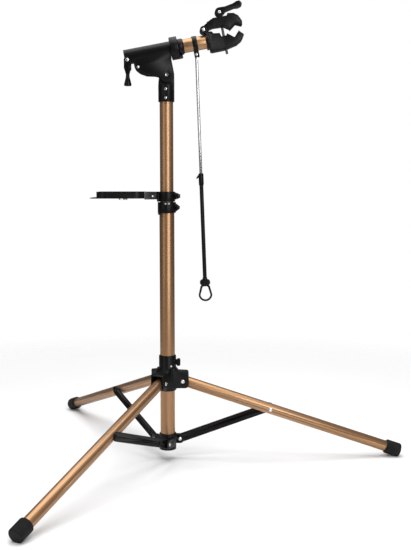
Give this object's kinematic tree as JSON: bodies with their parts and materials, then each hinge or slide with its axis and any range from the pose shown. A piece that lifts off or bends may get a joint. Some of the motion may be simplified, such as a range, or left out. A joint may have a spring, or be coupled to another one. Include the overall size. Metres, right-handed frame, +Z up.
{
  "type": "bicycle repair stand",
  "caption": "Folding tripod bicycle repair stand with a telescopic column, tool tray, tilting clamp head with V jaws and a hanging handlebar rod.",
  "frame": {"origin": "on the floor under the column axis", "axes": "+Z up the column, +X towards the clamp jaws and the right leg, -X towards the tool tray"},
  "size_m": [0.938, 1.0784, 1.1705],
  "materials": {
    "bronze_anodised": "satin anodised",
    "black_casting": "fine moulded grain",
    "black_knob": "semi-gloss moulded",
    "black_steel": "powder coat",
    "grey_steel": "zinc plated",
    "bolt_steel": "bright plated",
    "chrome_rod": "polished",
    "black_rubber": "matt rubber"
  },
  "bodies": {
    "column": {"lower_tube": "bronze_anodised", "base_bracket": "black_casting", "base_plug": "black_casting", "base_bolts": "bolt_steel", "height_clamp": "black_casting", "height_bush": "black_casting", "clamp_screws": "bolt_steel"},
    "hub": {"hub": "black_casting", "hub_bush": "black_casting", "hub_bolts": "bolt_steel", "hub_screw": "bolt_steel"},
    "hub_knob": {"hub_knob": "black_knob"},
    "height_knob": {"height_knob": "black_knob"},
    "leg_right": {"leg_tube_right": "bronze_anodised", "leg_foot_right": "black_rubber", "leg_bolt_right": "bolt_steel"},
    "brace_right": {"brace_right": "black_steel", "brace_rivets_right": "black_steel"},
    "leg_back": {"leg_tube_back": "bronze_anodised", "leg_foot_back": "black_rubber", "leg_bolt_back": "bolt_steel"},
    "brace_back": {"brace_back": "black_steel", "brace_rivets_back": "black_steel"},
    "leg_front": {"leg_tube_front": "bronze_anodised", "leg_foot_front": "black_rubber", "leg_bolt_front": "bolt_steel"},
    "brace_front": {"brace_front": "black_steel", "brace_rivets_front": "black_steel"},
    "upper_column": {"upper_tube": "bronze_anodised", "upper_bush": "black_casting", "head_socket": "black_casting", "socket_screws": "bolt_steel"},
    "tray": {"tray_collar": "black_casting", "tray_arm": "grey_steel", "tray_pan": "black_steel", "tray_buttons": "bolt_steel", "tray_screws": "bolt_steel"},
    "tray_knob": {"tray_knob": "black_knob"},
    "head": {"head_casting": "black_casting", "tilt_bolt": "bolt_steel", "head_rivet": "bolt_steel", "lever_pin": "bolt_steel"},
    "lock_lever": {"lock_lever": "black_knob"},
    "arm": {"arm_ring": "black_casting", "arm_tube": "bronze_anodised", "lower_jaw": "black_casting", "jaw_pad_lower": "black_rubber", "jaw_pin": "bolt_steel", "rod_band": "black_casting", "rod_band_pin": "bolt_steel"},
    "upper_jaw": {"upper_jaw": "black_casting", "jaw_pad_upper": "black_rubber"},
    "jaw_screw": {"jaw_screw": "grey_steel", "cam_pin": "bolt_steel"},
    "cam_lever": {"cam_lever": "black_knob"},
    "rod": {"rod_upper": "chrome_rod"},
    "rod_sleeve": {"rod_sleeve": "black_steel", "rod_lock": "black_casting", "rod_fitting": "black_casting", "rod_loop": "black_rubber"}
  },
  "joints": [
    {"name": "hub_slide", "type": "slide", "parent": "column", "child": "hub", "axis": [0, 0, 1], "range_m": [0, 0.32946]},
    {"name": "leg_fold_right", "type": "hinge", "parent": "hub", "child": "leg_right", "pos_m": [0.039, 0, 0.2095], "axis": [0, 1, 0], "range_deg": [0, 66.4]},
    {"name": "brace_fold_right", "type": "hinge", "parent": "column", "child": "brace_right", "pos_m": [0.0315, 0, 0.05], "axis": [0, -1, 0], "range_deg": [0, 64.57]},
    {"name": "leg_fold_back", "type": "hinge", "parent": "hub", "child": "leg_back", "pos_m": [-0.0195, 0.03377, 0.2095], "axis": [-0.866, -0.5, 0], "range_deg": [0, 66.4]},
    {"name": "brace_fold_back", "type": "hinge", "parent": "column", "child": "brace_back", "pos_m": [-0.01575, 0.02728, 0.05], "axis": [0.866, 0.5, 0], "range_deg": [0, 64.57]},
    {"name": "leg_fold_front", "type": "hinge", "parent": "hub", "child": "leg_front", "pos_m": [-0.0195, -0.03377, 0.2095], "axis": [0.866, -0.5, 0], "range_deg": [0, 66.4]},
    {"name": "brace_fold_front", "type": "hinge", "parent": "column", "child": "brace_front", "pos_m": [-0.01575, -0.02728, 0.05], "axis": [-0.866, 0.5, 0], "range_deg": [0, 64.57]},
    {"name": "hub_knob_turn", "type": "hinge", "parent": "hub", "child": "hub_knob", "pos_m": [0, 0, 0.261], "axis": [0.848, -0.5299, 0], "range_deg": [0, 180]},
    {"name": "height_knob_turn", "type": "hinge", "parent": "column", "child": "height_knob", "pos_m": [0.0275, 0, 0.6575], "axis": [0, 1, 0], "range_deg": [0, 180]},
    {"name": "tray_swivel", "type": "hinge", "parent": "column", "child": "tray", "pos_m": [0, 0, 0.685], "axis": [0, 0, 1], "range_deg": [-90, 90]},
    {"name": "tray_knob_turn", "type": "hinge", "parent": "tray", "child": "tray_knob", "pos_m": [0.0275, 0, 0.6865], "axis": [0, 1, 0], "range_deg": [0, 180]},
    {"name": "column_slide", "type": "slide", "parent": "column", "child": "upper_column", "axis": [0, 0, 1], "range_m": [-0.195, 0.22]},
    {"name": "head_tilt", "type": "hinge", "parent": "upper_column", "child": "head", "pos_m": [0.001, 0, 0.987], "axis": [0, 1, 0], "range_deg": [-45, 5]},
    {"name": "lock_lever_swing", "type": "hinge", "parent": "head", "child": "lock_lever", "pos_m": [-0.09632, 0, 1.02213], "axis": [0, 1, 0], "range_deg": [0, 100]},
    {"name": "arm_roll", "type": "hinge", "parent": "head", "child": "arm", "pos_m": [0.001, 0, 1.0507], "axis": [0.9813, 0, 0.1925], "range_deg": [-180, 180]},
    {"name": "jaw_open", "type": "hinge", "parent": "arm", "child": "upper_jaw", "pos_m": [0.09298, 0, 1.09769], "axis": [0, 1, 0], "range_deg": [-12, 0]},
    {"name": "jaw_screw_lift", "type": "slide", "parent": "arm", "child": "jaw_screw", "axis": [-0.1925, 0, 0.9813], "range_m": [0, 0.0121]},
    {"name": "cam_lever_swing", "type": "hinge", "parent": "jaw_screw", "child": "cam_lever", "pos_m": [0.13293, 0, 1.1418], "axis": [0, 1, 0], "range_deg": [-110, 0]},
    {"name": "rod_swing", "type": "hinge", "parent": "arm", "child": "rod", "pos_m": [0.07577, 0, 1.03836], "axis": [0, 1, 0], "range_deg": [-75, 4]},
    {"name": "rod_extend", "type": "slide", "parent": "rod", "child": "rod_sleeve", "axis": [-0.0375, 0, 0.9993], "range_m": [0, 0.2]}
  ],
  "couplings": [
    {"joint": "leg_fold_right", "follows": "hub_slide", "rad_per_m": 3.507},
    {"joint": "brace_fold_right", "follows": "hub_slide", "rad_per_m": 3.4101},
    {"joint": "leg_fold_back", "follows": "hub_slide", "rad_per_m": 3.507},
    {"joint": "brace_fold_back", "follows": "hub_slide", "rad_per_m": 3.4101},
    {"joint": "leg_fold_front", "follows": "hub_slide", "rad_per_m": 3.507},
    {"joint": "brace_fold_front", "follows": "hub_slide", "rad_per_m": 3.4101},
    {"joint": "jaw_screw_lift", "follows": "jaw_open", "m_per_rad": -0.0573}
  ]
}
